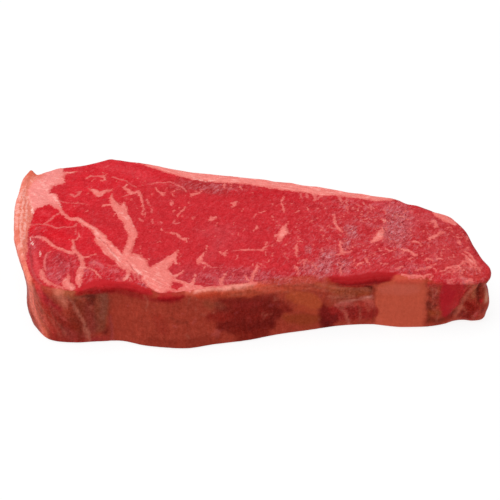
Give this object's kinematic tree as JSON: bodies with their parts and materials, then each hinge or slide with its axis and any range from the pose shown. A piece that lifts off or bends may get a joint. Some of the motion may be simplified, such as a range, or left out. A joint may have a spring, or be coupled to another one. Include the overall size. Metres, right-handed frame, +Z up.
{
  "type": "raw sirloin steak",
  "caption": "Thick-cut raw sirloin steak lying flat: marbled red lean, pale fat seams, a fat edge at the back, a fat cap on the broad end and a tapered tip.",
  "frame": {"origin": "below the middle of the steak's box, on the surface that it lies on", "axes": "+X from the broad end to the tip, along the longest extent; +Y towards the fat edge; +Z up through the thickness"},
  "size_m": [0.2156, 0.0994, 0.0307],
  "materials": {
    "raw_beef": "moist marbled red lean with salmon-pink fat, browner on the cut side"
  },
  "bodies": {
    "root": {"steak": "raw_beef"}
  },
  "joints": []
}
